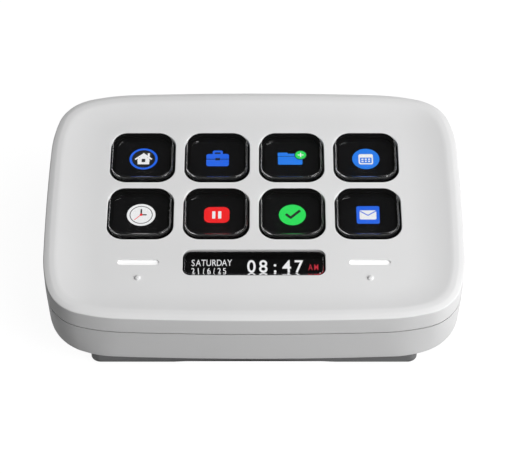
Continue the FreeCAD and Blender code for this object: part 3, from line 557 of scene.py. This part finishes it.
smoked = acrylic("smoked_window", (0.86, 0.86, 0.88), 0.0)
bm = bmesh.new()
width, height = INFO_WIDTH - 2 * WINDOW_STEP, INFO_HEIGHT - 2 * WINDOW_STEP
block(bm, width, height, INFO_RADIUS - WINDOW_STEP, WINDOW_UNDER, WINDOW_TOP, 0, INFO_Y)
soften_top(bm, WINDOW_TOP, WINDOW_ROUND, segments=3)
part_at(bm, FLANGE_TOP)
part_at(bm, FLANGE_UNDER)
belt = [face for face in bm.faces if FLANGE_UNDER < face.calc_center_median().z < FLANGE_TOP]
grown = bmesh.ops.extrude_face_region(bm, geom=belt)["geom"]
bmesh.ops.scale(
    bm, vec=(1 + 2 * FLANGE / width, 1 + 2 * FLANGE / height, 1),
    verts=[item for item in grown if isinstance(item, bmesh.types.BMVert)],
    space=Matrix.Translation((0, -INFO_Y, 0)),
)
for face in bm.faces:
    level = face.calc_center_median().z
    if WINDOW_UNDER + HAIR < level < WINDOW_TOP - TOP_ROUND:
        face.material_index = WALL_MASK
window = settle(bm, "info_block", smoked, sharp_over=40)
window.data.materials.append(mask_black_and_shade)
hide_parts("info_window")


# Touch bars. Two milky light guides, lit from the screen below, set a little below the face.

made = Material("milky_guide")
haze = made.noise(900.0)
glow = made.surface(made.node("BsdfPrincipled", None, {
    "Base Color": made.blend(haze, (0.86, 0.86, 0.86), (0.93, 0.93, 0.93)),
    "Roughness": 0.35 + haze * 0.1,
    "Emission Color": (1, 1, 1, 1),
    "Emission Strength": 0.24,
}))
paint(glow, "light_guide_left", "light_guide_right")


# Screen. One display, black where nothing is drawn. Its pictures are thin shapes that lie on the
# glass under each key and under the info window, and they give their own light.

GLASS_TOP = -4.1
LAYER = 0.012                # from one shape of a picture up to the next
PICTURE_RIGHT, PICTURE_UP = 0.15, 1.05         # pictures lie a little off the keys' middles

made = Material("screen_glass")
flecks = made.noise(400.0)
screen_glass = made.surface(made.node("BsdfPrincipled", None, {
    "Base Color": made.blend(flecks, (0.0008, 0.0008, 0.001), (0.0016, 0.0016, 0.002)),
    "Roughness": 0.6 + flecks * 0.05,
    "IOR": 1.5,
    "Specular IOR Level": 0.03,
}))
paint(screen_glass, "display_glass")


def lit(name, colour):
    """A lit colour of the screen, with the faint grid of its pixels."""
    made = Material(name)
    grid = made.noise(2500.0, 0.0)
    dim = [channel * 0.9 for channel in colour]
    return made.surface(made.node("BsdfPrincipled", None, {
        "Base Color": (0.01, 0.01, 0.01, 1),
        "Roughness": 0.3,
        "Emission Color": made.blend(grid, dim, colour),
        "Emission Strength": 1.0,
    }))


INK = {
    "white": lit("lit_white", (0.95, 0.95, 0.95)),
    "blue": lit("lit_blue", (0.003, 0.13, 0.86)),
    "sky": lit("lit_sky", (0.004, 0.21, 0.9)),
    "red": lit("lit_red", (0.98, 0.002, 0.004)),
    "rose": lit("lit_rose", (0.6, 0.03, 0.05)),
    "green": lit("lit_green", (0.012, 0.8, 0.1)),
    "black": lit("lit_black", (0.0, 0.0, 0.0)),
}


class Picture:
    """A picture on the screen, made of flat shapes in one colour each, laid one over another."""

    def __init__(self, name, x, y):
        self.name = name
        self.centre = Vector((x, y, GLASS_TOP))
        self.bm = bmesh.new()
        self.inks = []
        self.level = 0

    def lay(self, verts, ink, x, y, turn=0.0):
        """Puts a shape in its place and colour, one layer over the last."""
        if ink not in self.inks:
            self.inks.append(ink)
        self.level += 1
        bmesh.ops.rotate(self.bm, matrix=Matrix.Rotation(math.radians(turn), 3, "Z"), verts=verts)
        bmesh.ops.translate(self.bm, vec=self.centre + Vector((x, y, self.level * LAYER)), verts=verts)
        for face in {face for vert in verts for face in vert.link_faces}:
            face.material_index = self.inks.index(ink)

    def disc(self, ink, radius, x=0.0, y=0.0, sides=48):
        made = bmesh.ops.create_circle(self.bm, cap_ends=True, segments=sides, radius=radius)["verts"]
        self.lay(made, ink, x, y)

    def panel(self, ink, width, height, x=0.0, y=0.0, radius=0.0, turn=0.0):
        """A rectangle, with rounded corners if it has a radius, turned by an angle in degrees."""
        made = bmesh.ops.create_grid(self.bm, x_segments=1, y_segments=1, size=0.5)["verts"]
        bmesh.ops.scale(self.bm, vec=(width, height, 1), verts=made)
        if radius:
            old = set(self.bm.verts) - set(made)
            bmesh.ops.bevel(
                self.bm, geom=made, offset=radius, offset_type="OFFSET", affect="VERTICES", segments=6,
                profile=0.5, material=-1, clamp_overlap=False,
            )
            made = [vert for vert in self.bm.verts if vert not in old]
        self.lay(made, ink, x, y, turn)

    def write(self, ink, words, size, pitch, x, y, stretch=1.0, weight=0.005):
        """Plain lettering that stands on y, each character in the middle of a step of one pitch."""
        for place, character in enumerate(words):
            text = bpy.data.curves.new(self.name, "FONT")
            text.body = character
            text.size = size
            text.offset = size * weight
            text.align_x = "CENTER"
            holder = bpy.data.objects.new(self.name, text)
            bpy.context.scene.collection.objects.link(holder)
            letter = finished(holder)
            bpy.data.objects.remove(holder)
            old = set(self.bm.verts)
            self.bm.from_mesh(letter)
            made = [vert for vert in self.bm.verts if vert not in old]
            bmesh.ops.scale(self.bm, vec=(stretch, 1, 1), verts=made)
            self.lay(made, ink, x + pitch * (place + 0.5), y)

    def show(self):
        """Ends the picture and puts it on the screen."""
        bmesh.ops.transform(self.bm, matrix=slab, verts=self.bm.verts)
        piece = shown(self.bm, self.name)
        for ink in self.inks:
            piece.data.materials.append(INK[ink])
        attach(piece, "case")


def key_picture(name, number):
    """An empty picture under a key."""
    x, y = KEY_PLACES[number - 1]
    return Picture(name, x + PICTURE_RIGHT, y + PICTURE_UP)


home = key_picture("picture_home", 1)
home.disc("blue", 3.62)
home.disc("black", 3.0)
home.disc("white", 1.95, 0, 0.2, sides=3)
home.panel("white", 3.0, 2.2, 0, -0.75, 0.15)
home.panel("white", 0.46, 3.0, -1.03, 0.78, 0.1, -49)
home.panel("white", 0.46, 3.0, 1.03, 0.78, 0.1, 49)
home.panel("white", 0.55, 1.2, 1.3, 1.3)
home.panel("black", 0.9, 1.1, 0, -0.6)
home.show()

briefcase = key_picture("picture_briefcase", 2)
briefcase.panel("blue", 2.6, 1.8, 0, 2.0, 0.5)
briefcase.panel("black", 1.5, 1.0, 0, 1.75, 0.2)
briefcase.panel("blue", 5.8, 4.2, 0, -0.4, 0.6)
briefcase.panel("black", 5.8, 0.22, 0, -0.1)
briefcase.panel("black", 1.2, 0.8, 0, -0.1, 0.15)
briefcase.show()

folder = key_picture("picture_folder", 3)
folder.panel("sky", 2.6, 1.4, -2.3, 1.5, 0.3)
folder.panel("sky", 6.3, 3.4, -0.4, 0.1, 0.35)
folder.panel("black", 6.3, 0.16, -0.4, 0.9)
folder.panel("sky", 6.3, 2.7, -0.4, -0.65, 0.35)
folder.disc("black", 1.62, 2.3, 1.3)
folder.disc("green", 1.4, 2.3, 1.3)
folder.panel("white", 1.5, 0.3, 2.3, 1.3)
folder.panel("white", 0.3, 1.5, 2.3, 1.3)
folder.show()

calendar = key_picture("picture_calendar", 4)
calendar.disc("sky", 3.5)
calendar.panel("white", 3.7, 3.5, 0, -0.1, 0.5)
calendar.panel("sky", 3.0, 1.9, 0, -0.5, 0.2)
for column in range(3):
    for row in range(2):
        calendar.panel("white", 0.5, 0.45, (column - 1) * 0.85, -0.15 - row * 0.75)
calendar.show()

clock = key_picture("picture_clock", 5)
clock.disc("white", 3.6)
clock.disc("black", 2.9)
clock.disc("white", 2.7)
clock.panel("black", 0.4, 2.0, 0, 0.9, 0.15)
clock.panel("black", 1.5, 0.4, 0.65, 0, 0.15)
clock.panel("red", 0.2, 2.6, -0.75, -0.75, 0.08, 135)
clock.disc("red", 0.38)
clock.show()

pause = key_picture("picture_pause", 6)
pause.panel("red", 6.4, 5.2, 0, 0, 1.5)
pause.panel("white", 0.8, 2.4, -0.75, 0, 0.15)
pause.panel("white", 0.8, 2.4, 0.75, 0, 0.15)
pause.show()

tick = key_picture("picture_tick", 7)
tick.disc("green", 3.4)
tick.panel("black", 0.72, 1.9, -1.0, -0.35, 0.2, 45)
tick.panel("black", 0.72, 3.7, 0.65, 0.15, 0.2, -45)
tick.show()

letter = key_picture("picture_letter", 8)
letter.panel("blue", 5.8, 5.8, 0, 0, 0.5)
letter.panel("white", 4.2, 3.0, 0, 0, 0.3)
letter.panel("blue", 0.28, 2.6, -1.0, 0.55, 0.1, 55)
letter.panel("blue", 0.28, 2.6, 1.0, 0.55, 0.1, -55)
letter.show()

DAY_X, TIME_X, HALF_DAY_X = -15.9, -2.1, 13.4
info = Picture("info_line", 0, INFO_Y)
info.write("white", "SATURDAY", 2.85, 1.31, DAY_X, 0.35, 0.68)
info.write("white", "21/6/25", 2.25, 1.31, DAY_X, -1.95, 0.84)
info.write("white", "08:47", 5.4, 2.95, TIME_X, -1.7, 0.84, 0.012)
info.write("rose", "AM", 2.6, 1.45, HALF_DAY_X, -1.0, 0.6, 0.002)
info.show()


# Stand and pad. The stand is a dark wedge with a fine grain, and a shallow arch in the lower edge of
# its front. The pad under it is soft black rubber.

ARCH_RISE, ARCH_HALF, ARCH_DEPTH, ARCH_SIDES = 0.7, 20.0, 6.0, 512
STAND_FRONT_Y, STAND_FOOT_Z = -37.2, -19.09
WELD = 1e-6                  # metres

stand_black = moulded("stand_black", (0.18, 0.181, 0.184), 0.55, 2200.0, 4e-6, shine=0.25)
bm = bmesh.new()
bm.from_mesh(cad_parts["stand"].data)
bmesh.ops.remove_doubles(bm, verts=bm.verts, dist=WELD)
bmesh.ops.transform(bm, matrix=slab.inverted(), verts=bm.verts)
wedge = settle(bm, "stand_wedge", stand_black)

arch_radius = (ARCH_HALF**2 + ARCH_RISE**2) / (2 * ARCH_RISE)
bm = bmesh.new()
bmesh.ops.create_cone(
    bm, cap_ends=True, segments=ARCH_SIDES, radius1=arch_radius, radius2=arch_radius, depth=ARCH_DEPTH,
)
bmesh.ops.rotate(bm, matrix=Matrix.Rotation(math.pi / 2, 3, "X"), verts=bm.verts)
arch_centre = STAND_FOOT_Z + ARCH_RISE - arch_radius
bmesh.ops.translate(bm, vec=(0, STAND_FRONT_Y, arch_centre), verts=bm.verts)
cut_out(wedge, bm)
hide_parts("stand")

pad_rubber = moulded("pad_rubber", (0.03, 0.03, 0.031), 0.75, 1500.0, 1e-5, shine=0.25)
paint(pad_rubber, "stand_pad")


# Inlet. A plated steel shell with a black insulator and its tongue, set a little way into the
# middle of the back wall.

def metal(name, colour, roughness, lines):
    """Plated or rolled steel, with fine scratches that run across it."""
    made = Material(name)
    grain = made.noise(lines, 4.0)
    darker = [channel * 0.9 for channel in colour]
    return made.surface(made.node("BsdfPrincipled", None, {
        "Base Color": made.blend(grain, darker, colour),
        "Metallic": 1.0,
        "Roughness": roughness + grain * 0.12,
        "Normal": made.bump(grain, 0.3, 2e-6),
    }))


plated = metal("plated_steel", (0.72, 0.72, 0.71), 0.22, 1800.0)
paint(plated, "usb_socket_shell")
paint(frame_black, "usb_socket_insert")


# Inside the case. What the screen and the switches need: a backlight, the rubber mat and contact
# film, a steel plate, the board with its components, and screws that hold all of it together.

silicone = moulded("dark_silicone", (0.02, 0.02, 0.022), 0.7, 1800.0, shine=0.2)
film = moulded("amber_film", (0.50, 0.28, 0.06), 0.3, 900.0)
carbon_film = moulded("carbon_film", (0.02, 0.02, 0.022), 0.45, 900.0)
backlight_white = moulded("backlight_white", (0.78, 0.78, 0.76), 0.5, 1200.0)
board_green = moulded("board_green", (0.02, 0.16, 0.07), 0.35, 700.0)
chip_black = moulded("chip_black", (0.02, 0.02, 0.022), 0.5, 4000.0)
rolled_steel = metal("rolled_steel", (0.55, 0.55, 0.56), 0.35, 900.0)
zinc = metal("zinc_plate", (0.5, 0.5, 0.52), 0.3, 2500.0)
paint(silicone, "dome_mat")
paint(carbon_film, "switch_film")
paint(film, "display_ribbon")
paint(backlight_white, "display_backlight")
paint(board_green, "main_board")
paint(chip_black, "controller_chip", "ribbon_connector", "board_parts")
paint(rolled_steel, "support_plate")
paint(zinc, "board_screws", "case_screws")


# Desk and light. Soft square lamps from the right, above, the front right and behind, a faint one
# from the left, and a dim room. The desk is white where the camera, a reflection or a clear piece
# shows it, and gives other pieces only what it reflects.

DESK_HALF = 8.0              # metres
LAMPS_AIM = Vector((0, 0, 0.02))
ROOM_LIGHT = 0.06

made = Material("white_desk")
seen = made.node("LightPath", output="Is Camera Ray") + made.node("LightPath", output="Is Glossy Ray")
seen = seen + made.node("LightPath", output="Is Transmission Ray")
plain = made.node("BsdfDiffuse", None, {"Color": (0.28, 0.28, 0.28, 1)})
shadowed = made.node("BsdfDiffuse", None, {"Color": (0.12, 0.12, 0.12, 1)})
bright = made.node("Emission", None, {"Color": (1, 1, 1, 1), "Strength": 0.95})
both = made.node("AddShader", None, {0: shadowed, 1: bright})
desk_white = made.surface(made.node("MixShader", None, {"Fac": seen, 1: plain, 2: both}))
bm = bmesh.new()
bmesh.ops.create_grid(bm, x_segments=1, y_segments=1, size=DESK_HALF)
desk = shown(bm, "desk")
desk.data.materials.append(desk_white)


def lamp(name, place, size, watts):
    """A square soft lamp that points at the keypad."""
    light = bpy.data.lights.new(name, "AREA")
    light.size = size
    light.energy = watts
    holder = bpy.data.objects.new(name, light)
    away = Vector(place) - LAMPS_AIM
    holder.matrix_world = Matrix.Translation(place) @ away.to_track_quat("Z", "Y").to_matrix().to_4x4()
    bpy.context.scene.collection.objects.link(holder)


lamp("right_lamp", (0.62, -0.22, 0.52), 0.6, 3.3)
lamp("top_lamp", (0.35, -0.05, 0.75), 0.5, 1.8)
lamp("front_lamp", (0.55, -0.6, 0.4), 0.5, 4.2)
lamp("back_lamp", (0.6, 0.45, 0.5), 0.5, 1.3)
lamp("left_lamp", (-0.7, -0.2, 0.45), 0.6, 0.3)

world = bpy.data.worlds.new("room")
bpy.context.scene.world = world
world.use_nodes = True
sky = world.node_tree.nodes["Background"]
sky.inputs["Color"].default_value = (1, 1, 1, 1)
sky.inputs["Strength"].default_value = ROOM_LIGHT
bpy.context.scene.view_settings.view_transform = "Standard"
